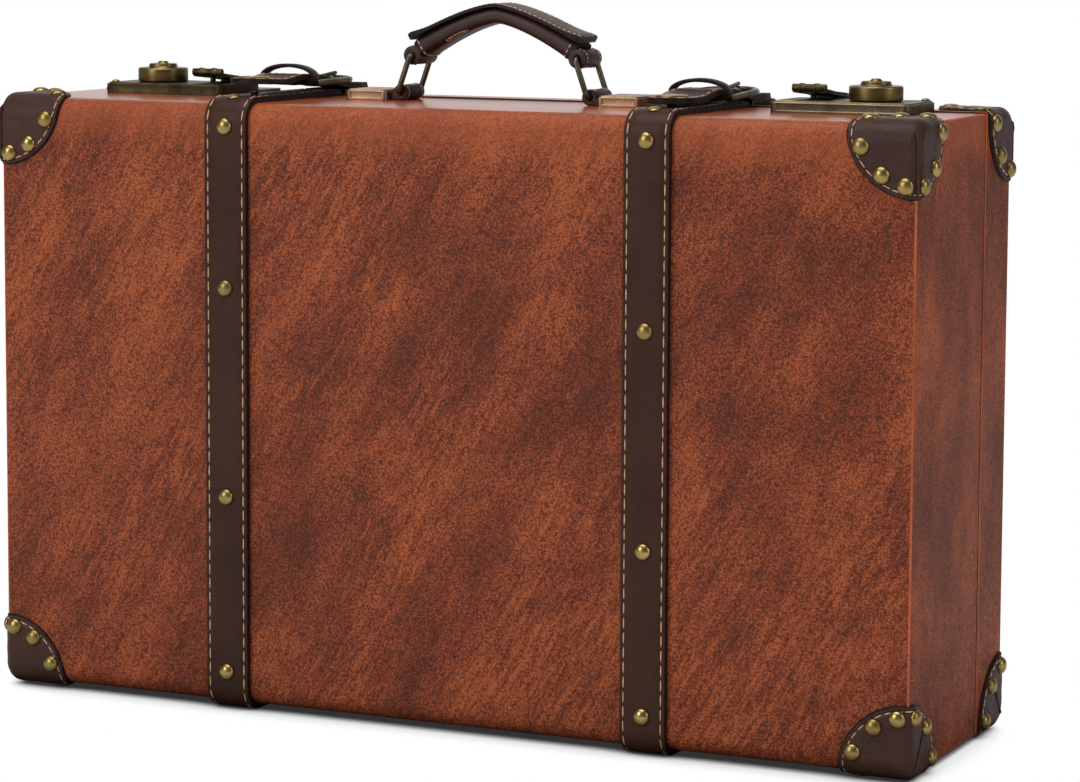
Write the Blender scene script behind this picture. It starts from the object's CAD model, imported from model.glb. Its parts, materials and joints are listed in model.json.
# %% [markdown]
# # A leather trunk
# The trunk is a thin wooden box covered in mottled leather, with dark straps, stitched corner
# caps and antique brass fittings. Its construction comes in as a fixed frame of separate
# pieces, in metres. This notebook dresses that frame: it lights it, gives each piece its
# finish, and adds the threads, folds and soft edges that make leather look like leather.

# %% Load the frame
import json
from math import copysign, cos, hypot, pi, radians, sin, sqrt

import bmesh
import bpy
import numpy as np
from mathutils import Matrix, Vector

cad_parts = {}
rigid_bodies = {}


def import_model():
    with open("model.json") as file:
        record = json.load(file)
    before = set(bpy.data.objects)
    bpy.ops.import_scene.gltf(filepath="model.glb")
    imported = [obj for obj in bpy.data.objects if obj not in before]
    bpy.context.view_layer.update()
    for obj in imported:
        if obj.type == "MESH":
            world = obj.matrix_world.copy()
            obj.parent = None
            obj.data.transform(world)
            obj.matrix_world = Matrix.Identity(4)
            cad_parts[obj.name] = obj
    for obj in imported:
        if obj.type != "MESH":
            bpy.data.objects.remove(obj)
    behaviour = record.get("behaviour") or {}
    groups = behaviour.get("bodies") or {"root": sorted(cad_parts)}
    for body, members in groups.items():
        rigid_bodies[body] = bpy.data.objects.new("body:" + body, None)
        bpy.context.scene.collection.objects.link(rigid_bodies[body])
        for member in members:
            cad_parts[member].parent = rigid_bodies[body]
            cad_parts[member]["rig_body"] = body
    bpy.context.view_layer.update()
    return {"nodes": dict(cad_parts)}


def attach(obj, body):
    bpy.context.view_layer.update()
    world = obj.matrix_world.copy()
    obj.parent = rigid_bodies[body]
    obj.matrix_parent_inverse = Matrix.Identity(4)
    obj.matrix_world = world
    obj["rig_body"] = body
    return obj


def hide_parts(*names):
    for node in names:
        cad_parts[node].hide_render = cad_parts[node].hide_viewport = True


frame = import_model()
MM = 0.001
print("pieces in the frame:", len(frame["nodes"]))


def new_object(name, data):
    made = bpy.data.objects.new(name, data)
    bpy.context.scene.collection.objects.link(made)
    return made



# %% [markdown]
# ## The camera
# A camera can be moved by hand until the picture looks right. Here the photograph's
# perspective was worked out from the edges of the box instead, so the camera stands where the
# photographer stood: to the right, a little above the lid, with a long lens. A small shift
# puts the lens's axis on the row of the picture where those edges say it is.

# %% Camera
EYE = Vector((0.804, -1.664, 0.4192))
YAW, PITCH, ROLL = radians(25.03), radians(6.19), radians(0.28)
FOCAL_PIXELS, AXIS_ROW, SENSOR = 3502, 300, 36
FRAME_WIDTH, FRAME_HEIGHT = 1080, 782

forward = Vector((-sin(YAW) * cos(PITCH), cos(YAW) * cos(PITCH),
                  -sin(PITCH)))
level = Vector((cos(YAW), sin(YAW), 0))
upright = level.cross(forward)
right = level * cos(ROLL) + upright * sin(ROLL)
above = upright * cos(ROLL) - level * sin(ROLL)

camera = new_object("camera", bpy.data.cameras.new("camera"))
camera.data.sensor_width = SENSOR
camera.data.lens = FOCAL_PIXELS / FRAME_WIDTH * SENSOR
camera.data.shift_y = (AXIS_ROW - FRAME_HEIGHT / 2) / FRAME_WIDTH
turn = Matrix((right, above, -forward)).transposed().to_4x4()
camera.matrix_world = Matrix.Translation(EYE) @ turn
bpy.context.scene.camera = camera
bpy.context.scene.view_settings.view_transform = "Standard"
print("lens in mm:", round(camera.data.lens, 1))


# %% [markdown]
# ## A short way to write nodes
# Every finish here is a tree of nodes. They could be drawn by hand in the editor, but written
# down they can be repeated and changed. One helper adds a node, sets its options and fills its
# inputs. An input may be a plain value, an output or a node, which stands for its first output.

# %% Node helpers
def plug(tree, socket, value):
    if isinstance(value, bpy.types.Node):
        value = value.outputs[0]
    if isinstance(value, bpy.types.NodeSocket):
        tree.links.new(value, socket)
    else:
        socket.default_value = value


def node(tree, kind, inputs=None, **settings):
    made = tree.nodes.new(kind)
    for name, value in settings.items():
        setattr(made, name, value)
    for name, value in (inputs or {}).items():
        plug(tree, made.inputs[name], value)
    return made


def math_node(tree, operation, a, b):
    return node(tree, "ShaderNodeMath", {0: a, 1: b}, operation=operation)


def remap(tree, value, low=0.0, high=1.0, to_low=0.0, to_high=1.0):
    """A value carried from one range to another"""
    return node(tree, "ShaderNodeMapRange", {
        "Value": value, "From Min": low, "From Max": high, "To Min": to_low, "To Max": to_high})


def noise(tree, place, scale, detail, roughness=0.5):
    return node(tree, "ShaderNodeTexNoise", {
        "Vector": place, "Scale": scale, "Detail": detail, "Roughness": roughness})


def cleared(block):
    """The empty node tree of a new world or material"""
    block.use_nodes = True
    block.node_tree.nodes.clear()
    return block.node_tree


# %% Colour helpers
def srgb(red, green, blue):
    """A colour as it looks on screen, turned into the linear values that shaders use"""
    parts = [v / 255 for v in (red, green, blue)]
    linear = [p / 12.92 if p <= 0.04045 else ((p + 0.055) / 1.055) ** 2.4 for p in parts]
    return (*linear, 1)


def ramp(tree, value, stops):
    made = node(tree, "ShaderNodeValToRGB", {"Fac": value})
    elements = made.color_ramp.elements
    while len(elements) < len(stops):
        elements.new(0.5)
    for element, (place, colour) in zip(elements, stops):
        element.position = place
        element.color = colour
    return made.outputs["Color"]


def blend_colours(tree, mode, amount, a, b):
    made = node(tree, "ShaderNodeMix", data_type="RGBA", blend_type=mode)
    for name, value in (("Factor", amount), ("A", a), ("B", b)):
        plug(tree, [s for s in made.inputs if s.name == name and s.enabled][0], value)
    return [s for s in made.outputs if s.enabled][0]


# %% [markdown]
# ## Studio
# The trunk stands on a white floor in even studio light. The world is white where the camera
# sees it. Polished surfaces see the white backdrop behind the trunk and a dimmer studio in
# front of it, where soft lamps give brass its bright bands; a plain white world would make
# the metal look like paper.

# %% World
WORLD_LIGHT, STUDIO_GLOSS = 0.55, 0.16
BACKDROP_WAY, BACKDROP_EDGE = (-0.42, 0.9, 0.1), (0.72, 0.95)
world = bpy.data.worlds.new("studio")
bpy.context.scene.world = world
tree = cleared(world)
path = node(tree, "ShaderNodeLightPath").outputs
seen = math_node(tree, "MAXIMUM", path["Is Camera Ray"], path["Is Transmission Ray"])
way = node(tree, "ShaderNodeTexCoord").outputs["Generated"]
behind = node(tree, "ShaderNodeVectorMath", {0: way, 1: BACKDROP_WAY},
              operation="DOT_PRODUCT").outputs["Value"]
studio = remap(tree, behind, *BACKDROP_EDGE, to_low=STUDIO_GLOSS)
mirrored = remap(tree, path["Is Glossy Ray"], to_low=WORLD_LIGHT, to_high=studio)
strength = math_node(tree, "MAXIMUM", seen, mirrored)
light = node(tree, "ShaderNodeBackground", {"Color": (1, 1, 1, 1), "Strength": strength})
node(tree, "ShaderNodeOutputWorld", {"Surface": light})
print("world:", world.name)

# %% [markdown]
# ## Floor
# A plain white plane would hide the lid, which opens past the floor's level when the trunk
# lies on its back. So the floor is paper that lights the trunk but shows the camera only the
# contact shadow, which comes from how little open air each spot of the floor has above it.

# %% Floor
REACH, NEAR = 40, 0.06
floor_mesh = bpy.data.meshes.new("floor")
corners = [(x * REACH, y * REACH, 0) for x, y in ((-1, -1), (1, -1), (1, 1), (-1, 1))]
floor_mesh.from_pydata(corners, [], [(0, 1, 2, 3)])
floor = new_object("floor", floor_mesh)
white = bpy.data.materials.new("white floor")
tree = cleared(white)
openness = node(tree, "ShaderNodeAmbientOcclusion", {"Distance": NEAR}, samples=16).outputs["AO"]
paper = node(tree, "ShaderNodeBsdfDiffuse", {"Color": remap(tree, openness, 0.45, 0.98, 0.05, 0.8)})
clear = node(tree, "ShaderNodeBsdfTransparent")
from_below = node(tree, "ShaderNodeNewGeometry").outputs["Backfacing"]
lit = node(tree, "ShaderNodeMixShader", {0: from_below, 1: paper, 2: clear})
contact = remap(tree, openness, 0.12, 0.62, 0.03)
shadow = node(tree, "ShaderNodeBsdfTransparent", {"Color": contact})
camera_ray = node(tree, "ShaderNodeLightPath").outputs["Is Camera Ray"]
both = node(tree, "ShaderNodeMixShader", {0: camera_ray, 1: lit, 2: shadow})
node(tree, "ShaderNodeOutputMaterial", {"Surface": both})
floor_mesh.materials.append(white)
print("floor reaches in m:", REACH)


# %% Lamps
def lamp(name, place, aim, width, height, power):
    data = bpy.data.lights.new(name, "AREA")
    data.shape = "RECTANGLE"
    data.size, data.size_y, data.energy = width, height, power
    turn = (Vector(place) - Vector(aim)).to_track_quat("Z", "Y").to_matrix().to_4x4()
    new_object(name, data).matrix_world = Matrix.Translation(place) @ turn


lamp("overhead", (-0.2, -0.4, 2.2), (0, 0, 0.2), 1.6, 1.2, 26)
lamp("front left", (-1.2, -2.3, 1.3), (0, 0, 0.15), 0.8, 1.6, 26)
lamp("right", (2.3, -0.3, 1.1), (0.2, 0, 0.15), 0.7, 1.5, 9)


# %% [markdown]
# ## Shared effects
# Leather and metal share a few effects. They could be copied into each material, but a node
# group keeps one version of each: a fine pebble grain that gives both height and a faint
# shade, and a patina that darkens metal in soft patches.

# %% Grain group
def new_group(name, inputs, outputs, kind="ShaderNodeTree"):
    group = bpy.data.node_groups.new(name, kind)
    for direction, sockets in (("INPUT", inputs), ("OUTPUT", outputs)):
        for label, holds, *value in sockets:
            made = group.interface.new_socket(
                label, in_out=direction, socket_type="NodeSocket" + holds)
            if value:
                made.default_value = value[0]
    return group, node(group, "NodeGroupInput").outputs


tree, given = new_group(
    "pebble grain", [("Vector", "Vector"), ("Pebbles", "Float", 700)],
    [("Height", "Float"), ("Shade", "Float")])
place = given["Vector"]
wander = node(tree, "ShaderNodeTexNoise", {"Vector": place, "Scale": 150.0, "Detail": 3.0})
shift = node(tree, "ShaderNodeVectorMath", {0: wander.outputs["Color"], "Scale": 0.003},
             operation="SCALE")
moved = node(tree, "ShaderNodeVectorMath", {0: place, 1: shift}, operation="ADD")
cells = node(tree, "ShaderNodeTexVoronoi",
             {"Vector": moved, "Scale": given["Pebbles"]}, feature="F1")
domes = math_node(tree, "MULTIPLY", cells.outputs["Distance"], 0.6)
height = math_node(tree, "SUBTRACT", noise(tree, place, 1300.0, 3.0, 0.7), domes)
shade = remap(tree, height, -0.1, 0.45)
node(tree, "NodeGroupOutput", {"Height": height, "Shade": shade})
grain_group = tree

# %% Patina group
tree, given = new_group(
    "patina", [("Vector", "Vector"), ("Scale", "Float", 60)],
    [("Mask", "Float"), ("Height", "Float")])
blots = noise(tree, given["Vector"], given["Scale"], 6.0, 0.65)
specks = noise(tree, given["Vector"], 900.0, 3.0)
mask = remap(tree, blots, 0.38, 0.66)
node(tree, "NodeGroupOutput", {"Mask": mask, "Height": specks})
patina_group = tree
print("groups:", [g.name for g in bpy.data.node_groups])


# %% [markdown]
# ## Finishes
# Each finish is a function that builds one material. The shader stays in the material and
# takes its colour, roughness and bumps from the groups. A picture of leather would be quicker,
# but a pattern made of noise has no seams and stays sharp from close by.

# %% Material helpers
def new_material(name):
    made = bpy.data.materials.new(name)
    tree = cleared(made)
    return made, tree, node(tree, "ShaderNodeTexCoord").outputs["Object"]


def finish_material(tree, colour, roughness, height, bump, depth, specular=0.5, metallic=0.0):
    normal = node(tree, "ShaderNodeBump", {"Strength": bump, "Distance": depth, "Height": height})
    shader = node(tree, "ShaderNodeBsdfPrincipled", {
        "Base Color": colour, "Roughness": roughness, "Normal": normal,
        "Specular IOR Level": specular, "Metallic": metallic})
    node(tree, "ShaderNodeOutputMaterial", {"Surface": shader})


def use_group(tree, group, **values):
    return node(tree, "ShaderNodeGroup", values, node_tree=group).outputs


def stretched(tree, place, scale, degrees=0.0):
    """Coordinates that stretch a pattern, along a line that leans to the right by some degrees"""
    turn = (0, radians(degrees), 0)
    return node(tree, "ShaderNodeMapping", {"Vector": place, "Scale": scale, "Rotation": turn},
                vector_type="TEXTURE")


# %% [markdown]
# ### Mottled case leather
# The case is covered in printed leather: brown with darker clouds, and with orange streaks
# that were wiped on at a slant. The clouds and the streaks are noises stretched along that
# slant, and a third noise says where the wiping shows. The grain then speckles the colour.
# The leather is rubbed orange below its upper edges, and its top is the smoothest part.

# %% Case leather finish
RUBBED_FROM, RUBBED_TO, RAGGED = 0.308, 0.322, 0.02


def case_leather_material():
    made, tree, place = new_material("mottled leather")
    clouds = noise(tree, stretched(tree, place, (1, 1, 2.2), 28), 26.0, 9.0, 0.68)
    streaks = noise(tree, stretched(tree, place, (1, 1, 7), 30), 420.0, 5.0, 0.65)
    strokes = remap(tree, streaks, 0.3, 0.7, 0.16, 0.84)
    rub = noise(tree, stretched(tree, place, (1, 1, 2), 30), 11.0, 4.0)
    wiped = remap(tree, rub, 0.4, 0.62, 0.1, 0.5)
    patches = noise(tree, stretched(tree, place, (1, 1, 1.5), 20), 9.0, 3.0)
    tone = node(tree, "ShaderNodeMix", {0: wiped, 2: clouds, 3: strokes})
    tone = math_node(tree, "ADD", tone, remap(tree, patches, 0.35, 0.65, -0.035, 0.045))
    grain = use_group(tree, grain_group, Vector=place, Pebbles=840.0)
    speckle = remap(tree, grain["Shade"], to_low=-0.24, to_high=0.2)
    colour = ramp(tree, math_node(tree, "ADD", tone, speckle),
                  [(0.3, srgb(76, 37, 26)), (0.43, srgb(101, 48, 31)),
                   (0.55, srgb(123, 59, 36)), (0.72, srgb(160, 84, 47))])
    height_here = node(tree, "ShaderNodeSeparateXYZ", {0: place}).outputs["Z"]
    ragged = math_node(tree, "ADD", height_here, math_node(tree, "MULTIPLY", clouds, RAGGED))
    rubbed = remap(tree, ragged, RUBBED_FROM, RUBBED_TO, to_high=0.38)
    colour = blend_colours(tree, "MIX", rubbed, colour, srgb(164, 84, 50))
    normal = node(tree, "ShaderNodeNewGeometry").outputs["Normal"]
    facing_up = node(tree, "ShaderNodeSeparateXYZ", {0: normal}).outputs["Z"]
    rough = remap(tree, facing_up, 0.6, 0.98, 0.58, 0.22)
    finish_material(tree, colour, rough, grain["Height"], 0.3, 0.0003, 0.12)
    return made


# %% [markdown]
# ### Strap leather, edges and thread
# The straps and caps are a dark leather with the same grain. The cap leather was pulled over
# the corners, so it gets fine upright wrinkles as well. Cut edges are painted nearly black.
# They, the thread and the bare plywood are so plain that one noise does for each.

# %% Strap leather and plain finishes
def dark_leather_material(name, dark, light, wrinkles=0.0, shine=0.15):
    made, tree, place = new_material(name)
    colour = ramp(tree, noise(tree, place, 24.0, 4.0), [(0.3, srgb(*dark)), (0.7, srgb(*light))])
    grain = use_group(tree, grain_group, Vector=place, Pebbles=900.0)
    stops = [(0.1, (0.75, 0.74, 0.73, 1)), (0.8, (1.06, 1.05, 1.05, 1))]
    colour = blend_colours(tree, "MULTIPLY", 1.0, colour, ramp(tree, grain["Shade"], stops))
    height = grain["Height"]
    if wrinkles:
        lines = noise(tree, stretched(tree, place, (5, 5, 1)), 380.0, 3.0)
        height = math_node(tree, "ADD", height, math_node(tree, "MULTIPLY", lines, wrinkles))
    finish_material(tree, colour, 0.45, height, 0.22, 0.00025, shine)
    return made


def plain_material(name, dark, light, scale, detail, roughness, bump, depth,
                   stops=(0.3, 0.7), specular=0.5, stretch=None):
    """One noise gives the colour, between dark and light, and the height"""
    made, tree, place = new_material(name)
    if stretch:
        place = node(tree, "ShaderNodeMapping", {"Vector": place, "Scale": stretch})
    specks = noise(tree, place, scale, detail)
    colour = ramp(tree, specks, [(stops[0], srgb(*dark)), (stops[1], srgb(*light))])
    finish_material(tree, colour, roughness, specks, bump, depth, specular)
    return made


# %% [markdown]
# ### Metals
# The fittings are plated in antique brass: bright where hands rub them, dark in the hollows.
# One function makes the rivets, the darker knobs and buckles, and the plates, which are
# pressed with fine upright ribs. The ribs are too fine to be worth their own geometry.

# %% Metals
def metal_material(name, bright, dark, roughness, patina_scale, patina_amount, ribs=0.0):
    made, tree, place = new_material(name)
    patina = use_group(tree, patina_group, Vector=place, Scale=patina_scale)
    amount = math_node(tree, "MULTIPLY", patina["Mask"], patina_amount)
    height = patina["Height"]
    if ribs:
        wave = node(tree, "ShaderNodeTexWave", {
            "Vector": place, "Scale": 240.0, "Distortion": 1.5, "Detail": 1.0},
            bands_direction="X").outputs["Fac"]
        hollow = math_node(tree, "SUBTRACT", 1.0, wave)
        amount = math_node(tree, "ADD", amount, math_node(tree, "MULTIPLY", hollow, ribs))
        height = math_node(tree, "ADD", height, wave)
    colour = blend_colours(tree, "MIX", amount, srgb(*bright), srgb(*dark))
    rough = remap(tree, amount, to_low=roughness, to_high=roughness + 0.25)
    finish_material(tree, colour, rough, height, 0.12, 0.0001, metallic=1.0)
    return made


# %% Lining
def lining_material():
    made, tree, place = new_material("woven lining")
    across, along, deep = (
        node(tree, "ShaderNodeTexWave", {"Vector": place, "Scale": 260.0, "Distortion": 0.6},
             bands_direction=direction).outputs["Fac"] for direction in "XZY")
    weave = math_node(tree, "MULTIPLY", across, along)
    weave = math_node(tree, "MAXIMUM", weave, math_node(tree, "MULTIPLY", deep, 0.6))
    colour = ramp(tree, weave, [(0.0, srgb(150, 126, 96)), (0.8, srgb(206, 186, 152))])
    finish_material(tree, colour, 0.9, weave, 0.4, 0.0002)
    return made


# %% All the finishes
leather, plain, metal = dark_leather_material, plain_material, metal_material
case_leather = case_leather_material()
dark_leather = leather("dark strap leather", (48, 26, 16), (61, 35, 24))
rubbed_leather = leather("rubbed leather edge", (140, 66, 38), (186, 98, 58))
cap_leather = leather("cap leather", (54, 33, 26), (68, 44, 36), wrinkles=4.0)
grip_leather = leather("handle leather", (36, 17, 13), (58, 32, 26), shine=0.35)
hem_leather = leather("turned-in hem", (44, 20, 13), (66, 31, 20))
cut_edge = plain("painted cut edge", (18, 11, 9), (40, 24, 19), 400.0, 4.0, 0.5, 0.3, 0.0003,
                 (0.35, 0.65), 0.15)
thread = plain("cream thread", (160, 120, 92), (214, 178, 142), 1500.0, 2.0, 0.7, 0.4, 0.0002)
pale_thread = plain("white thread", (206, 182, 166), (240, 224, 212),
                    1500.0, 2.0, 0.7, 0.4, 0.0002)
brass = metal("rivet brass", (172, 148, 90), (84, 68, 38), 0.26, 45.0, 0.6)
aged_brass = metal("aged brass", (132, 112, 70), (62, 50, 32), 0.3, 50.0, 0.7)
bronze = metal("dark bronze", (92, 78, 58), (40, 34, 26), 0.38, 55.0, 0.7, ribs=0.35)
pale_bronze = metal("pale bronze", (116, 108, 94), (60, 54, 46), 0.36, 60.0, 0.7, ribs=0.35)
buckle_bronze = metal("olive bronze", (122, 116, 96), (52, 48, 38), 0.3, 60.0, 0.7)
hasp_bronze = metal("black bronze", (84, 74, 52), (34, 29, 23), 0.36, 55.0, 0.8)
worn_metal = metal("rubbed brass edge", (158, 140, 100), (96, 80, 54), 0.32, 80.0, 0.6)
plate_brass = metal("warm plate brass", (188, 146, 122), (122, 88, 72), 0.34, 70.0, 0.4, ribs=0.5)
steel = metal("hinge steel", (150, 140, 120), (90, 80, 66), 0.4, 60.0, 0.5)
lining = lining_material()
board = plain("thin plywood", (168, 128, 82), (214, 180, 132), 9.0, 6.0, 0.65, 0.2, 0.0003,
              stretch=(1, 14, 14))
print("materials:", len(bpy.data.materials))


# %% [markdown]
# ## Dressing the frame's own pieces
# A piece whose shape is already right keeps its solid and only gets a finish. Which finish
# it gets follows from its name, so no piece is forgotten.

# %% Finish for each piece of the frame
FINISH_WORDS = {"board": board, "lining": lining, "_leather": case_leather, "hinge": steel,
                "latch_plate": bronze, "hasp": bronze, "knob": aged_brass, "ring": aged_brass,
                "buckle": aged_brass, "handle_plate": brass, "press_stud": brass,
                "stud_cap": brass, "rivets": brass}


def finish_of(name):
    return next((finish for word, finish in FINISH_WORDS.items() if word in name), dark_leather)


for name, piece in frame["nodes"].items():
    if not piece.material_slots:
        piece.data.materials.append(finish_of(name))
    for slot in piece.material_slots:
        slot.link = "OBJECT"
        slot.material = finish_of(name)
print("finished:", len(frame["nodes"]))


# %% [markdown]
# ## Sizes of the trunk
# The pieces made below follow the frame, so its main sizes are repeated here, in millimetres.
# A path round the case gives each point its outward direction. Straps and stitches both
# follow it, so they can't drift apart.

# %% Sizes
HALF_W, HALF_D, EDGE_R = 260.0, 73.0, 10.0
FLOOR_Z, TOP_Z, SEAM_Y = 3.2, 323.2, 32.0
MID_Z, HALF_H = (FLOOR_Z + TOP_Z) / 2, (TOP_Z - FLOOR_Z) / 2
STRAP_X, STRAP_HALF, STRAP_T = 120.0, 12.5, 3.2
STRAP_TOP_GAP, STRAP_FLOOR_GAP = 2.0, 4.0
CAP_T, CAP_REACH = 1.6, 37.0
ACROSS, DEEP, UP = np.eye(3)
BODIES = {-1: "base", 1: "lid"}
WORDS = {-1: "left", 1: "right"}
print("case in mm:", 2 * HALF_W, 2 * HALF_D, 2 * HALF_H)


# %% Path round the case
def case_path(half, step=4.0, bend_steps=10):
    """Points and outward ways round the front (-1) or back (1), from the seam on top down"""
    centre_y, face_y = half * (HALF_D - EDGE_R), half * HALF_D
    top, low = SEAM_Y + half * STRAP_TOP_GAP, SEAM_Y + half * STRAP_FLOOR_GAP
    points, outward = [], []

    def put(y, z, way):
        points.append((0, y, z))
        outward.append((0, *way))

    def add(start, end, way, count):
        for t in np.linspace(0, 1, count, endpoint=False):
            put(*(np.array(start) * (1 - t) + np.array(end) * t), way)

    def turn(z, first):
        for t in np.linspace(0, 1, bend_steps, endpoint=False):
            angle = first + t * pi / 2
            way = sin(angle) * half, cos(angle)
            put(centre_y + EDGE_R * way[0], z + EDGE_R * way[1], way)

    add((top, TOP_Z), (centre_y, TOP_Z), (0, 1), int(abs(top - centre_y) / step) + 1)
    turn(TOP_Z - EDGE_R, 0)
    add((face_y, TOP_Z - EDGE_R), (face_y, FLOOR_Z + EDGE_R), (half, 0), int(2 * HALF_H / step))
    turn(FLOOR_Z + EDGE_R, pi / 2)
    add((centre_y, FLOOR_Z), (low, FLOOR_Z), (0, -1), int(abs(low - centre_y) / step) + 1)
    put(low, FLOOR_Z, (0, -1))
    return np.array(points), np.array(outward, float)


# %% [markdown]
# ## Building pieces
# Most pieces are a section carried along a path. Blender's curves can do that too, but not
# with a slit, a groove or an edge of another finish, so one helper lofts rings of points into
# a closed skin. Another puts a finished mesh in the scene, makes it ride on its body and lets
# it stand for the frame's plain solid.

# %% Mesh helpers
def vec(*parts):
    return np.array(parts, float)


def full_turn(count):
    return np.linspace(0, 2 * pi, count, endpoint=False)


def loft(rings, closed=False):
    """Corners, faces and each face's place round the section. Open ends get caps, with place -1"""
    n = len(rings[0])
    faces, places = [], []
    for i in range(len(rings) - (0 if closed else 1)):
        a, b = i * n, (i + 1) % len(rings) * n
        for k in range(n):
            faces.append((a + k, a + (k + 1) % n, b + (k + 1) % n, b + k))
            places.append(k)
    if not closed:
        last = (len(rings) - 1) * n
        faces += [tuple(range(n)), tuple(range(last + n - 1, last - 1, -1))]
        places += [-1, -1]
    return np.concatenate([np.array(r, float) for r in rings]), faces, places


def smoothed(mesh, sharp=50):
    mesh.shade_smooth()
    mesh.set_sharp_from_angle(angle=radians(sharp))
    return mesh


def settle(piece, body, *stands_for):
    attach(piece, body)
    if stands_for:
        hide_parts(*stands_for)
    return piece


def new_piece(name, body, corners, faces, marks, leather, *stands_for, sharp=50):
    """A closed piece from corners in millimetres. The marked faces are cut edge"""
    mesh = bpy.data.meshes.new(name)
    mesh.from_pydata([Vector(c) * MM for c in corners], [], faces)
    mesh.materials.append(leather)
    mesh.materials.append(cut_edge)
    mesh.polygons.foreach_set("material_index", marks)
    work = bmesh.new()
    work.from_mesh(mesh)
    bmesh.ops.recalc_face_normals(work, faces=work.faces)
    work.to_mesh(mesh)
    work.free()
    return settle(new_object(name, smoothed(mesh, sharp)), body, *stands_for)


# %% Leather bands
EDGE_SOFT, GROOVE_HALF, GROOVE_DEPTH = 0.7, 0.8, 0.35
END_NARROWER, END_THINNER = 0.3, 0.072


def edge_section(half, thick, groove, crown):
    """Half of a band's section, from its lower edge to its middle: distance across, height"""
    rim = half - 0.35 * EDGE_SOFT, thick - 0.3 * EDGE_SOFT
    return [(half, 0.0), (half, thick - 1.1 * EDGE_SOFT), rim, (half - 1.3 * EDGE_SOFT, thick),
            (groove + GROOVE_HALF, thick), (groove, thick - GROOVE_DEPTH),
            (groove - GROOVE_HALF, thick), (0.45 * half, thick + 0.7 * crown), (0.0, thick + crown)]


def band(name, body, points, ups, corners, leather, *stands_for, across=ACROSS):
    """A leather band along a path. Its lower corners and ends are cut edge"""
    section = corners + [(-u, h) for u, h in reversed(corners[:-1])]
    rings = []
    for i, (point, up) in enumerate(zip(points, ups)):
        end = i in (0, len(points) - 1)
        ring = []
        for u, h in section:
            side = copysign(max(abs(u) - (END_NARROWER if end else 0), 0.0), u)
            ring.append(point + across * side + up * (h * (1 - END_THINNER) if end else h))
        rings.append(ring)
    skin, faces, places = loft(rings)
    marks = [int(p < 2 or p >= len(section) - 3) for p in places]
    new_piece(name, body, skin, faces, marks, leather, *stands_for)


# Rows of thread are collected here for each body and sewn together at the end
rows = {}


def sew(body, kind, points, ups, closed=False):
    row = np.array(points, float), np.array(ups, float), closed
    rows.setdefault((body, kind), []).append(row)


# %% [markdown]
# ## Softened solids
# A pressed or cut piece of the frame has razor edges that no real piece has. A Bevel modifier
# would round them all alike. This helper copies the solid, merges it, rounds the edges it is
# told to and gives the rounding a finish of its own, so that metal shows a rubbed edge and
# leather a painted one.

# %% Softened copies
MERGE, FLAT_ANGLE, EDGE_ANGLE = 1e-6, radians(1), radians(35)


def softened(name, width, material, edge_material=None, segments=2, where=None, reshape=None):
    work = bmesh.new()
    work.from_mesh(frame["nodes"][name].data)
    bmesh.ops.remove_doubles(work, verts=work.verts, dist=MERGE)
    bmesh.ops.dissolve_limit(work, angle_limit=FLAT_ANGLE, verts=work.verts, edges=work.edges)
    for face in work.faces:
        face.material_index = 0
    if reshape:
        reshape(work)
    edges = [e for e in work.edges if len(e.link_faces) == 2
             and e.calc_face_angle(0) > EDGE_ANGLE and (where is None or where(e))]
    bmesh.ops.bevel(work, geom=edges, offset=width * MM, segments=segments, profile=0.6,
                    affect="EDGES", material=1 if edge_material else 0, clamp_overlap=True)
    bmesh.ops.recalc_face_normals(work, faces=work.faces)
    mesh = bpy.data.meshes.new(name + "_soft")
    work.to_mesh(mesh)
    work.free()
    mesh.materials.append(material)
    if edge_material:
        mesh.materials.append(edge_material)
    return settle(new_object(name + "_soft", smoothed(mesh)), frame["nodes"][name]["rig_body"], name)


# %% [markdown]
# ## Case leather
# The case leather keeps its solid and gets slightly round end edges, which are rubbed down to
# orange in a thin line. The lid's leather is turned in over the board's edge, so its hem stands
# a little proud of the base and shows as a dark line along the seam. A second sheet for the hem
# would need a join that can be seen, so the solid's own edge is lifted.

# %% Case leather pieces
SEAM_HALF, HEM_WIDTH, HEM_RISE, HEM_SIDE = 0.3, 3.0, 1.1, 0.4
TINY = 1e-5


def raise_hem(work):
    """Lifts the lid's edge along the seam, on the top and the ends"""
    plane = (SEAM_Y + SEAM_HALF) * MM
    everything = work.verts[:] + work.edges[:] + work.faces[:]
    bmesh.ops.bisect_plane(work, geom=everything, plane_co=(0, plane + HEM_WIDTH * MM, 0),
                           plane_no=(0, 1, 0))
    for v in work.verts:
        if abs(v.co.y - plane) < TINY:
            if abs(v.co.z - TOP_Z * MM) < TINY:
                v.co.z += HEM_RISE * MM
            if abs(abs(v.co.x) - HALF_W * MM) < TINY:
                v.co.x += copysign(HEM_SIDE * MM, v.co.x)


def end_edge(edge):
    near, far = HALF_W * MM - TINY, (HALF_W + HEM_SIDE) * MM + TINY
    return all(near < abs(v.co.x) < far for v in edge.verts)


softened("base_leather", 0.9, case_leather, rubbed_leather, 3, end_edge)
lid_leather = softened("lid_leather", 0.9, case_leather, rubbed_leather, 3, end_edge, raise_hem)
lid_leather.data.materials.append(hem_leather)
for face in lid_leather.data.polygons:
    if face.normal.y < -0.9 and face.center.y < (SEAM_Y + 1) * MM:
        face.material_index = 2
print("case leather softened")

# %% [markdown]
# ## Straps
# Each strap is one band that runs right round the case and is cut at the seam. It could be a
# plain ribbon with thickness, but its section is slightly crowned, with a groove where the
# thread is pulled in and painted cut edges, so that section is lofted along the path.

# %% Straps
STITCH_ROW, THREAD_SINK = 10.25, 0.15
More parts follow.
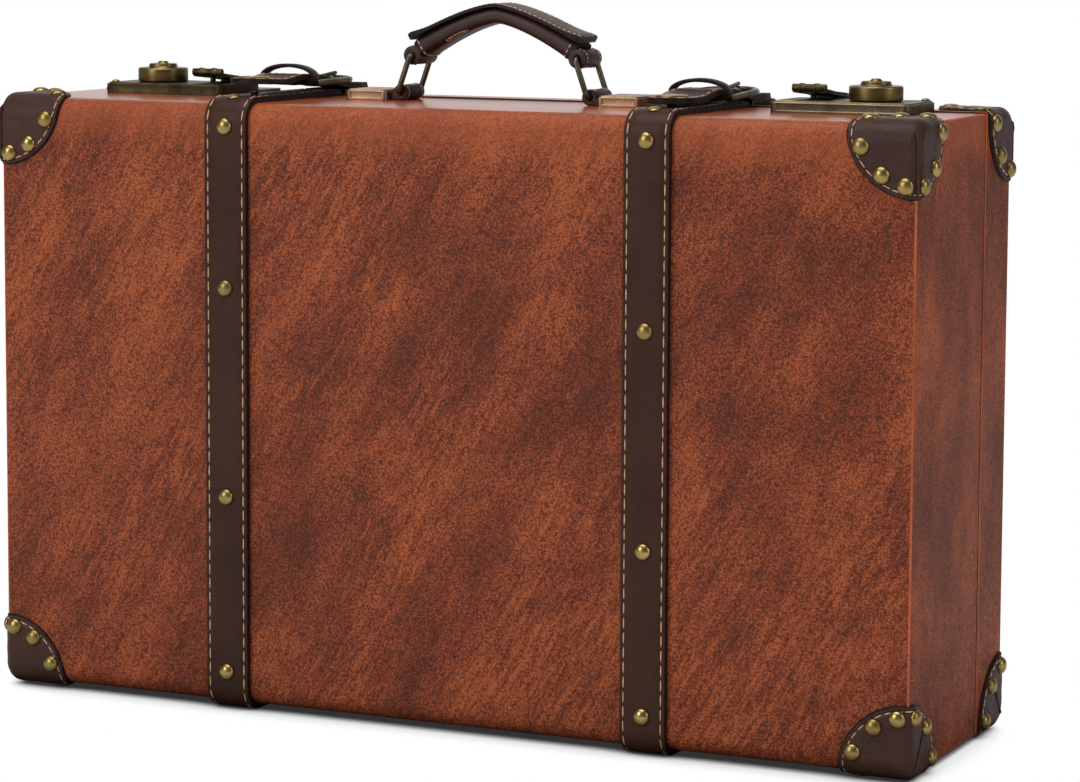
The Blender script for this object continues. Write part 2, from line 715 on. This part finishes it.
# The stitches of the lid's strap begin where the tongue no longer hides them
STITCHED = {-1: slice(1, -2), 1: slice(6, -2)}
for half, body in BODIES.items():
    points, outward = case_path(half)
    for side, word in WORDS.items():
        shift = ACROSS * side * STRAP_X
        name = f"{body}_strap_{word}"
        # The lid's half has its part of the buckle under it, so its solid stays as well
        band("wrapped_" + name, body, points + shift, outward,
             edge_section(STRAP_HALF, STRAP_T, STITCH_ROW, 0.15), dark_leather,
             *([name] if half < 0 else []))
        for u in (-STITCH_ROW, STITCH_ROW):
            line = points + shift + ACROSS * u + outward * (STRAP_T - THREAD_SINK)
            sew(body, "strap", line[STITCHED[half]], outward[STITCHED[half]])
print("straps made")


# %% [markdown]
# ## Corner caps
# A cap is leather pulled over three faces at once. Sculpting eight of them would be slow, and
# they would differ. Seen along the corner's diagonal those faces are a height field, so points
# are dropped along the diagonal onto a rounded copy of the case and then lifted by the
# leather's thickness: full in the middle, pinched where the thread runs, rolled down at the rim.

# %% The case as a distance
CAP_SOFT = 3.6
DROPS = 60


def rounded(a, b):
    """How far it is to a rounded edge between two faces, which are a and b away"""
    return np.hypot(np.maximum(a, 0), np.maximum(b, 0)) + np.minimum(np.maximum(a, b), 0)


def case_distance(at):
    """How far points are from the case, whose edges and ends are rounded for the caps"""
    x, y, z = np.abs(at - vec(0, 0, MID_Z)).T
    body = rounded(y - (HALF_D - EDGE_R), z - (HALF_H - EDGE_R)) - EDGE_R + CAP_SOFT
    return (rounded(body, x - HALF_W + CAP_SOFT) - CAP_SOFT).T


def case_outward(at, step=0.05):
    slope = np.stack([case_distance(at + step * e) - case_distance(at - step * e)
                      for e in np.eye(3)], axis=-1)
    return slope / np.linalg.norm(slope, axis=-1, keepdims=True)


def drop_onto_case(start, way):
    at = np.array(start, float)
    for _ in range(DROPS):
        at = at + way * case_distance(at)[..., None]
    return at


# %% One cap
SPOKES, CAP_THREAD, CAP_INNER, START_AWAY = 144, 3.0, 12.0, 80
RIM_W, DIP_DEPTH, DIP_W, FULLER, FULLER_OVER, RIPPLE = 1.4, 0.45, 0.7, 0.35, 6, 0.12
RIM_STEPS = (1.5, 1.25, 1.0, 0.75, 0.5, 0.3, 0.12, 0.0)


def cap_height(away, at):
    """How far the cap's leather stands off the case at a distance from the corner"""
    rim = np.clip((CAP_REACH - away) / RIM_W, 0, 1)
    dip = DIP_DEPTH * np.exp(-((away - CAP_REACH + CAP_THREAD) / DIP_W) ** 2)
    full = FULLER * np.clip((CAP_REACH - CAP_THREAD - away) / FULLER_OVER, 0, 1)
    ripple = (RIPPLE * np.sin(at[..., 0] * 0.31 + at[..., 2] * 0.47)
              * np.sin(at[..., 1] * 0.53 + at[..., 2] * 0.23))
    return (CAP_T + 0.15 + full + ripple - dip) * np.sqrt(1 - (1 - rim) ** 2)


def make_cap(side, half, up):
    body = BODIES[half]
    corner = vec(side * HALF_W, half * HALF_D, TOP_Z if up > 0 else FLOOR_Z)
    out = vec(side, half, up) / sqrt(3)
    a = np.cross(out, UP)
    a /= np.linalg.norm(a)
    b = np.cross(out, a)
    turns = full_turn(SPOKES)
    spokes = np.cos(turns)[:, None] * a + np.sin(turns)[:, None] * b

    def on_case(spread):
        start = corner + START_AWAY * out + spokes[:, None, :] * spread[..., None]
        at = drop_onto_case(start, -out)
        return at, np.linalg.norm(at - corner, axis=-1)

    trial = np.linspace(0, 0.88 * CAP_REACH, 80)
    far = on_case(np.tile(trial, (SPOKES, 1)))[1]

    def spread_at(distance):
        """How far each spoke must spread to land at a distance from the corner"""
        return np.array([np.interp(distance, row[row.argmin():], trial[row.argmin():])
                         for row in far])

    levels = list(np.arange(13, 30, 1.1)) + list(np.arange(30, CAP_REACH - 1.7, 0.45))
    levels += [CAP_REACH - d for d in RIM_STEPS]
    inner = spread_at(CAP_INNER)
    spreads = [inner * t + 0.3 * (1 - t) for t in np.linspace(0, 1, 9)]
    spreads += [spread_at(v) for v in levels]
    at, away = on_case(np.array(spreads).T)
    skin = at + case_outward(at) * cap_height(away, at)[..., None]
    under_at, _ = on_case(np.array([spread_at(v) for v in (CAP_REACH, 24.0, 13.0)]).T)
    under = under_at - 0.1 * case_outward(under_at)
    rings = [layer[:, k] for layer in (skin, under) for k in range(layer.shape[1])]
    corners, faces, places = loft(rings)
    rim = range((skin.shape[1] - 6) * SPOKES, skin.shape[1] * SPOKES)
    marks = [int(min(f) in rim) for f in faces]
    name = f"{body}_cap_{'top' if up > 0 else 'bottom'}_{WORDS[side]}"
    new_piece("stitched_" + name, body, corners, faces, marks, cap_leather, name, sharp=60)
    line, gone = on_case(spread_at(CAP_REACH - CAP_THREAD)[:, None])
    lift = cap_height(gone, line) + 0.15
    ways = case_outward(line)
    sew(body, "cap", (line + ways * lift[..., None])[:, 0], ways[:, 0], True)


# %% One fold
FOLD_STEPS, FOLD_SIDES, FOLD_NARROW, FOLD_TALL = 14, 12, 0.75, 1.15


def cap_fold(name, body, start, end, way, radius):
    """A pinched fold in a cap, dropped onto the case, with a dark crease along each side"""
    way = np.array(way, float)
    at = drop_onto_case(np.linspace(start, end, FOLD_STEPS) - 40 * way, way)
    outward = case_outward(at)
    along = np.gradient(at, axis=0)
    along /= np.linalg.norm(along, axis=1, keepdims=True)
    beside = np.cross(along, outward)
    turns = full_turn(FOLD_SIDES)
    swells = [0.35, 1.25, 1.25] + [1.0] * (FOLD_STEPS - 4) + [0.35]
    rings = []
    for i, swell in enumerate(swells):
        centre, s = at[i] + outward[i] * (CAP_T + 0.35), radius * swell
        rings.append([centre + s * (FOLD_NARROW * cos(t) * beside[i]
                                    + FOLD_TALL * sin(t) * outward[i]) for t in turns])
    corners, faces, _ = loft(rings)
    creases = {0, FOLD_SIDES // 2}
    marks = [1 if {k % FOLD_SIDES for k in f} & creases else 0 for f in faces]
    new_piece(name, body, corners, faces, marks, cap_leather, sharp=60)


# %% All the caps
for side, word in WORDS.items():
    for half, body in BODIES.items():
        for up in (-1, 1):
            make_cap(side, half, up)
        x, y = side * HALF_W, half * HALF_D
        cap_fold(f"cap_fold_top_{body}_{word}", body, (x, y, TOP_Z - 5),
                 (x, y, TOP_Z - CAP_REACH + 2), vec(-side, -half, 0) / sqrt(2), 1.35)
        cap_fold(f"cap_fold_low_{body}_{word}", body, (x, y - half * 4, FLOOR_Z + 4),
                 (x, y - half * 17, FLOOR_Z + 22), (-side, 0, 0), 0.65)
print("caps made")


# %% [markdown]
# ## Buckle tongues
# The tongue is two layers of leather sewn together round their edge. It climbs over the
# buckle's bar and comes down again to its press stud. The left one stands a little open, as
# it does in the photograph. A bent plane would do for the outline, but the prong needs a slit,
# so the loft's section has a column of points on each side of it.

# %% Shape of a tongue
FOLD_Y, FOLD_Z = SEAM_Y + 19.0, TOP_Z + 5.0
TONGUE_T, TONGUE_HALF, TONGUE_TIP, TONGUE_START, THREAD_IN = 3.0, 13.0, -89.0, 20.0, 2.2
UNDER_TOE, OVER_BAR, TONGUE_FRONT, BAR_Y = 5.0, 9.231, 6.8, -33.0
RISE_FROM, RISE_TO, FALL_FROM, FALL_TO = 9.0, -29.0, -43.5, -66.0
SLIT_FROM, SLIT_TO, SLIT_HALF = 2.0, -38.0, 2.3
TIP_CENTRE = TONGUE_TIP + TONGUE_HALF
LIFT = {-1: radians(2.2), 1: 0.0}


def eased(a, b, t):
    return a + (b - a) * (1 - cos(pi * min(max(t, 0), 1))) / 2


def tongue_height(y):
    if y > BAR_Y:
        return eased(UNDER_TOE, OVER_BAR, (RISE_FROM - y) / (RISE_FROM - RISE_TO))
    return eased(OVER_BAR, TONGUE_FRONT, (FALL_FROM - y) / (FALL_FROM - FALL_TO))


def lifted(side, x, y, z):
    """A direction turned with its tongue"""
    c, s = cos(LIFT[side]), sin(LIFT[side])
    return vec(x, c * y + s * z, c * z - s * y)


def on_strap(side, x, y, z):
    """A point given from the seam and the case's top, turned with its tongue about the fold"""
    fold = vec(side * STRAP_X, FOLD_Y, FOLD_Z)
    return fold + lifted(side, x, SEAM_Y + y - FOLD_Y, TOP_Z + z - FOLD_Z)


def tongue_way(side, y):
    """The way out of the tongue's upper face"""
    slope = tongue_height(y + 0.5) - tongue_height(y - 0.5)
    return lifted(side, *(vec(0, -slope, 1) / hypot(slope, 1)))


def tongue_skin(side):
    stations = [(y, TONGUE_HALF) for y in np.arange(TONGUE_START, TIP_CENTRE, -2.0)]
    stations += [(TIP_CENTRE - TONGUE_HALF * sin(t), TONGUE_HALF * cos(t))
                 for t in np.linspace(0, 1.53, 16)]
    upper = edge_section(TONGUE_HALF, TONGUE_T, TONGUE_HALF - THREAD_IN, 0.1)[:-1]
    upper += [(SLIT_HALF, TONGUE_T + 0.1)]
    section = upper + [(-u, h) for u, h in reversed(upper)] + [(-SLIT_HALF, 0.0), (SLIT_HALF, 0.0)]
    rings = []
    for y, half in stations:
        way = tongue_way(side, y)
        middle = on_strap(side, 0, y, tongue_height(y) - TONGUE_T / 2)
        rings.append([middle + ACROSS * u * half / TONGUE_HALF + way * h for u, h in section])
    corners, faces, places = loft(rings)
    n, over = len(section), len(upper) - 1
    first, last = np.searchsorted([-y for y, _ in stations], (-SLIT_FROM, -SLIT_TO)).tolist()
    kept = [j for j, k in enumerate(places)
            if not (first <= j // n < last and k in (over, n - 2))]
    faces, places = [faces[j] for j in kept], [places[j] for j in kept]
    for top, low in ((over, n - 1), (over + 1, n - 2)):
        faces += [(i * n + top, (i + 1) * n + top, (i + 1) * n + low, i * n + low)
                  for i in range(first, last)]
    for i in (first, last):
        faces.append(tuple(i * n + k for k in (over, over + 1, n - 2, n - 1)))
    rim = (-1, 0, 1, 2 * over, 2 * over - 1)
    marks = [int(k in rim) for k in places] + [1] * (len(faces) - len(places))
    return corners, faces, marks


# %% Keeper loop
KEEPER_Y, KEEPER_HALF, KEEPER_W, KEEPER_T = -38.5, 16.6, 7.0, 2.0
KEEPER_RISE, KEEPER_DROP, KEEPER_EDGE = 7.0, 4.6, 0.4


def keeper_skin(side):
    """A closed loop of leather, high over the tongue and lower under it"""
    middle, low = tongue_height(KEEPER_Y), -KEEPER_W / 2
    section = [(0.0, low + KEEPER_EDGE), (KEEPER_EDGE, low), (KEEPER_T - KEEPER_EDGE, low),
               (KEEPER_T, low + KEEPER_EDGE)]
    section += [(depth, -along) for depth, along in reversed(section)]
    rings = []
    for t in full_turn(48):
        power, tall = (1.0, KEEPER_RISE) if sin(t) > 0 else (0.7, KEEPER_DROP)
        c, s = (copysign(abs(v) ** power, v) for v in (cos(t), sin(t)))
        rings.append([on_strap(side, (KEEPER_HALF - d) * c, KEEPER_Y + y, middle + (tall - d) * s)
                      for d, y in section])
    corners, faces, places = loft(rings, closed=True)
    return corners, faces, [int(k not in (3, 7)) for k in places]


# %% Both tongues
for side, word in WORDS.items():
    body = "flap_" + word
    for made, name, skin in (
            ("stitched_tongue_", "tongue_", tongue_skin), ("keeper_loop_", "keeper_", keeper_skin)):
        new_piece(made + word, body, *skin(side), dark_leather, name + word)
    reach = TONGUE_HALF - THREAD_IN
    line = [(reach, y) for y in np.arange(14, TIP_CENTRE, -2.0)]
    line += [(reach * cos(t), TIP_CENTRE - reach * sin(t))
             for t in np.linspace(0, pi, 24)]
    line += [(-reach, y) for y in np.arange(TIP_CENTRE + 2, 14, 2.0)]
    at = [on_strap(side, x, y, tongue_height(y) + TONGUE_T / 2 - 0.1) for x, y in line]
    sew(body, "strap", at, [tongue_way(side, y) for _, y in line])
print("tongues made")


# %% [markdown]
# ## Handle
# The grip is a leather roll that bends most in the middle of its arch, with a flat strap on
# top. The roll and its threads follow one function, and the strap has the same bend, so they
# stay together. A curve with a bevel would keep one section from end to end, and the real roll
# swells towards its ends.

# %% Arch of the handle
HANDLE_Y = 9.0
RING_HEAD_X, RING_HEAD_Z, LOOP_R = 48.223, 347.384, 5.0
GRIP_HALF, ARCH_BEND = 46.0, 1.45
GRIP_TOP, GRIP_END = RING_HEAD_Z + 21.9, RING_HEAD_Z + 3.0
GRIP_T, GRIP_W, GRIP_SWELL, END_ROUND = 8.8, 21.0, 1.2, 1.2


def arch_z(x):
    return GRIP_TOP - (GRIP_TOP - GRIP_END) * (abs(x) / GRIP_HALF) ** ARCH_BEND


def grip_point(x, angle):
    """A point of the roll's skin and its outward direction"""
    c, s = cos(angle), sin(angle)
    thick = GRIP_T / 2 + GRIP_SWELL * (x / GRIP_HALF) ** 2
    across = GRIP_W / 2 * copysign(abs(c) ** 0.5, c)
    lift = thick * copysign(abs(s) ** 0.65, s)
    slope = arch_z(x + 0.5) - arch_z(x - 0.5)
    up = vec(-slope, 0, 1) / hypot(slope, 1)
    way = c / GRIP_W * DEEP + s / (2 * thick) * up
    centre = vec(x, HANDLE_Y, arch_z(x))
    return centre + DEEP * across + up * lift, way / np.linalg.norm(way)


# %% Roll
rings = []
for x in np.linspace(-GRIP_HALF, GRIP_HALF, 57):
    end = 1 - 0.08 * max(0, abs(x) - GRIP_HALF + END_ROUND) / END_ROUND
    middle = vec(x, HANDLE_Y, arch_z(x))
    turns = full_turn(40)
    rings.append([middle + end * (grip_point(x, t)[0] - middle) for t in turns])
corners, faces, places = loft(rings)
marks = [int(p < 0) for p in places]
new_piece("rolled_grip", "grip", corners, faces, marks, grip_leather, "handle_grip", sharp=60)

# %% Top strap
GRIP_STRAP_HALF, GRIP_STRAP_T, STRAP_REACH, STRAP_DROP = 11.5, 1.8, 49.0, 18.295
FULL_FROM, FULL_OVER, FULL_MORE = 34, 13, 1.1
strap_top = GRIP_TOP + GRIP_T / 2 + 0.15
steps = np.linspace(-STRAP_REACH, STRAP_REACH, 61)
points = [vec(x, HANDLE_Y, strap_top - STRAP_DROP * (abs(x) / STRAP_REACH) ** ARCH_BEND)
          for x in steps]
slopes = np.gradient([p[2] for p in points], steps)
ups = [vec(-s, 0, 1) / hypot(s, 1) for s in slopes]
# The strap gets thicker towards its ends, where it is folded back
full_ups = [n * (1 + FULL_MORE * float(np.clip((abs(x) - FULL_FROM) / FULL_OVER, 0, 1)) ** 2)
            for x, n in zip(steps, ups)]
row = GRIP_STRAP_HALF - 2.0
band("grip_top_strap", "grip", points, full_ups,
     edge_section(GRIP_STRAP_HALF, GRIP_STRAP_T, row, 0.1),
     grip_leather, "handle_top_strap", across=DEEP)
for u in (-row, row):
    at = [p + DEEP * u + n * (GRIP_STRAP_T - 0.1) for p, n in zip(points, full_ups)]
    sew("grip", "handle", at[1:-1], ups[1:-1])

# %% Stitches of the grip and its loops
TAB_X, TAB_LIFT, TAB_R, LOOP_Y = 55.3, 4.2, 4.25, 7.8
OVAL_X, OVAL_REACH, OVAL_ANGLE, OVAL_TURN = -24, 6.5, 226, 11


def arc(start, end, count):
    return np.linspace(radians(start), radians(end), count)


for x in (-GRIP_HALF + 3, GRIP_HALF - 3):
    bow = [grip_point(x, t) for t in arc(165, 375, 30)]
    sew("grip", "handle", [p + 0.15 * n for p, n in bow], [n for _, n in bow])
oval = [grip_point(OVAL_X + OVAL_REACH * cos(t), radians(OVAL_ANGLE + OVAL_TURN * sin(t)))
        for t in full_turn(40)]
sew("grip", "loop", [p + 0.1 * n for p, n in oval], [n for _, n in oval], True)
softened("handle_core", 0.4, grip_leather, cut_edge)
for side, word in WORDS.items():
    softened("handle_tab_" + word, 0.4, grip_leather, cut_edge)
    for y in (-LOOP_Y, LOOP_Y):
        for body, x, z, radius, turns in (
                ("base", TAB_X, TOP_Z + TAB_LIFT, TAB_R, arc(60, 250, 20)),
                ("grip", RING_HEAD_X, RING_HEAD_Z, LOOP_R + 0.05, arc(80, -95, 16))):
            middle = vec(side * x, HANDLE_Y + y, z)
            ways = [vec(side * cos(t), 0, sin(t)) for t in turns]
            sew(body, "loop", [middle + radius * w for w in ways], ways)
print("handle made")

# %% [markdown]
# ## Metal fittings
# The plates, hasps, knobs, rings and buckles are pressed, cast or bent from rod. Their solids
# already have the right shape, so they keep it, and only their edges are rounded and rubbed
# bright.

# %% Metal fittings
for word, plate in (("left", bronze), ("right", pale_bronze)):
    softened("latch_plate_" + word, 0.3, plate, worn_metal, 3)
    softened("handle_plate_" + word, 0.3, plate_brass, worn_metal, 3)
    softened("hasp_" + word, 0.35, hasp_bronze, worn_metal)
    softened("knob_" + word, 0.25, aged_brass, worn_metal)
    softened("ring_" + word, 0.1, buckle_bronze)
    softened("buckle_frame_" + word, 0.25, buckle_bronze)
    softened("buckle_prong_" + word, 0.15, buckle_bronze)
softened("hasp_brackets", 0.3, hasp_bronze, worn_metal)
print("fittings softened")


# %% [markdown]
# ## Rivets
# The rivets have domed brass heads. They could be copied one by one, but all the rivets of one
# body are one set of points here. Geometry nodes put a head on each, turned to its surface and
# scaled to its size. The heads are made real and baked to a mesh.

# %% Geometry node helpers
def point_mesh(name, points, attributes, edges=()):
    mesh = bpy.data.meshes.new(name)
    mesh.from_pydata([Vector(p) * MM for p in points], edges, [])
    for label, values in attributes.items():
        made = mesh.attributes.new(label, "FLOAT_VECTOR", "POINT")
        made.data.foreach_set("vector", np.array(values, np.float32).ravel())
    return new_object(name, mesh)


def geometry_group(name, inputs):
    shape = ("Geometry", "Geometry")
    return new_group(name, [shape, *inputs], [shape], "GeometryNodeTree")


def named_vector(group, name):
    return node(group, "GeometryNodeInputNamedAttribute", {"Name": name},
                data_type="FLOAT_VECTOR").outputs["Attribute"]


def finish_group(group, material, **inputs):
    """Ends a group: one shape on each point, made real and given its material"""
    copies = node(group, "GeometryNodeInstanceOnPoints", inputs)
    real = node(group, "GeometryNodeRealizeInstances", {"Geometry": copies})
    done = node(group, "GeometryNodeSetMaterial", {"Geometry": real, "Material": material})
    node(group, "NodeGroupOutput", {"Geometry": done})


def grow(piece, group, **values):
    """Runs a geometry group on a piece and bakes the result to a plain mesh"""
    modifier = piece.modifiers.new("grow", "NODES")
    modifier.node_group = group
    for item in group.interface.items_tree:
        if item.in_out == "INPUT" and item.name in values:
            modifier[item.identifier] = values[item.name]
    bpy.context.view_layer.update()
    ready = piece.evaluated_get(bpy.context.evaluated_depsgraph_get())
    mesh = bpy.data.meshes.new_from_object(ready)
    piece.modifiers.clear()
    piece.data = smoothed(mesh, 60)
    return piece


# %% Rivet heads
tree, given = geometry_group("rivet heads", [("Sides", "Int", 28)])
ball = node(tree, "GeometryNodeMeshUVSphere",
            {"Segments": given["Sides"], "Rings": 16, "Radius": 1.0})
place = node(tree, "GeometryNodeInputPosition")
parts = node(tree, "ShaderNodeSeparateXYZ", {0: place}).outputs
above_base = math_node(tree, "MAXIMUM", parts["Z"], -0.12)
flat = node(tree, "ShaderNodeCombineXYZ", {"X": parts["X"], "Y": parts["Y"], "Z": above_base})
head = node(tree, "GeometryNodeSetPosition", {"Geometry": ball, "Position": flat})
turn = node(tree, "FunctionNodeAlignRotationToVector",
            {"Vector": named_vector(tree, "up")}, axis="Z")
finish_group(tree, brass, Points=given["Geometry"], Instance=head,
             Rotation=turn, Scale=named_vector(tree, "size"))
rivet_group = tree

# %% Places of the rivets
FACE_ANGLES, SIDE_ANGLES, RIVET_IN = (22, 55, 80), (10, 47, 81), 6.5
RIVET_D, RIVET_H, TOP_RIVET_H, FLAT_H, EDGE_RIVET_D, EDGE_TILT = 9.0, 3.0, 2.2, 1.2, 7.0, 12
SCREW_D, SCREW_H, SCREW_X, SCREW_Y, PLATE_Y, PLATE_TOP = 4.5, 1.1, 230.1, 15.5, 22, TOP_Z + 6.0
LOW_RIVET, HIGH_RIVET, LOW_STEP, HIGH_STEP, LEFT_RISE = FLOOR_Z + 18, TOP_Z - 12, 84, 95, 10


def rivet_places(half):
    """Where each rivet of one half sits, which way it points, and its size"""
    found = []

    def add(point, way, height=RIVET_H, across=RIVET_D):
        size = (across * MM / 2, across * MM / 2, height * MM)
        found.append((np.array(point, float), np.array(way, float), size))

    def polar(degrees):
        reach, turn = CAP_REACH - RIVET_IN, radians(degrees)
        return reach * cos(turn), reach * sin(turn)

    for side in WORDS:
        for up, level in ((1, TOP_Z), (-1, FLOOR_Z)):
            corner = vec(side * HALF_W, half * HALF_D, level)
            for c, s in map(polar, FACE_ANGLES):
                add(corner + (-side * c, half * CAP_T, -up * s), (0, half, 0))
                add(corner + (-side * c, -half * s, up * CAP_T), (0, 0, up),
                    TOP_RIVET_H if up > 0 and half < 0 else FLAT_H)
            for c, s in map(polar, SIDE_ANGLES):
                add(corner + (side * CAP_T, -half * c, -up * s), (side, 0, 0))
        rise = LEFT_RISE if side < 0 else 0
        for z in (LOW_RIVET, LOW_RIVET + LOW_STEP + rise,
                  HIGH_RIVET - HIGH_STEP + rise, HIGH_RIVET):
            add((side * STRAP_X, half * (HALF_D + STRAP_T), z), (0, half, 0))
        if half < 0:
            tilt = radians(EDGE_TILT)
            way = vec(0, -sin(tilt), cos(tilt))
            bend = vec(side * STRAP_X, -HALF_D + EDGE_R, TOP_Z - EDGE_R)
            add(bend + way * (EDGE_R + STRAP_T), way, FLAT_H, EDGE_RIVET_D)
            add((side * SCREW_X, SEAM_Y - PLATE_Y + side * SCREW_Y, PLATE_TOP), (0, 0, 1),
                SCREW_H, SCREW_D)
    return found


for half, body in BODIES.items():
    points, ways, sizes = zip(*rivet_places(half))
    piece = point_mesh(body + "_rivet_heads", [p + 0.25 * w for p, w in zip(points, ways)],
                       {"up": ways, "size": sizes})
    settle(grow(piece, rivet_group), body, body + "_rivets")
print("rivets made")

# %% [markdown]
# ## Thread
# Each row of thread is a chain of edges that carries the surface's direction. A dashed texture
# would look painted on, so geometry nodes cut the chain into equal stitches and lay a rounded
# length of thread on each, along the row and flat on the leather. The straps have the longest
# stitches, and the loops of the handle the shortest.

# %% Stitches
tree, given = geometry_group("stitches", [
    ("Pitch", "Float", 0.0075), ("Length", "Float", 0.006), ("Thickness", "Float", 0.0011)])
chain = node(tree, "GeometryNodeMeshToCurve", {"Mesh": given["Geometry"]})
dots = node(tree, "GeometryNodeResampleCurve",
            {"Curve": chain, "Length": given["Pitch"]}, mode="LENGTH")
along = node(tree, "GeometryNodeInputTangent")
turn = node(tree, "FunctionNodeAxesToRotation",
            {"Primary Axis": along, "Secondary Axis": named_vector(tree, "up")},
            primary_axis="X", secondary_axis="Z")
ball = node(tree, "GeometryNodeMeshUVSphere", {"Segments": 8, "Rings": 7, "Radius": 0.5})
size = node(tree, "ShaderNodeCombineXYZ",
            {"X": given["Length"], "Y": given["Thickness"], "Z": given["Thickness"]})
finish_group(tree, thread, Points=dots, Instance=ball, Rotation=turn, Scale=size)
stitch_group = tree

# %% Rows of thread
THREADS = {"strap": dict(Pitch=0.0075, Length=0.0064, Thickness=0.0007),
           "cap": dict(Pitch=0.0056, Length=0.0050, Thickness=0.0007),
           "handle": dict(Pitch=0.0030, Length=0.0026, Thickness=0.0008),
           "loop": dict(Pitch=0.0020, Length=0.0018, Thickness=0.0006)}
for (body, kind), lines in rows.items():
    points, ups, edges = [], [], []
    for line, ways, closed in lines:
        first = len(points)
        points.extend(line)
        ups.extend(ways)
        edges += [(i, i + 1) for i in range(first, len(points) - 1)]
        if closed:
            edges.append((len(points) - 1, first))
    piece = point_mesh(f"thread_{kind}_{body}", points, {"up": ups}, edges)
    grow(piece, stitch_group, **THREADS[kind])
    if kind in ("handle", "loop"):
        piece.data.materials[0] = pale_thread
    settle(piece, body)
print("thread rows:", sum(len(v) for v in rows.values()))
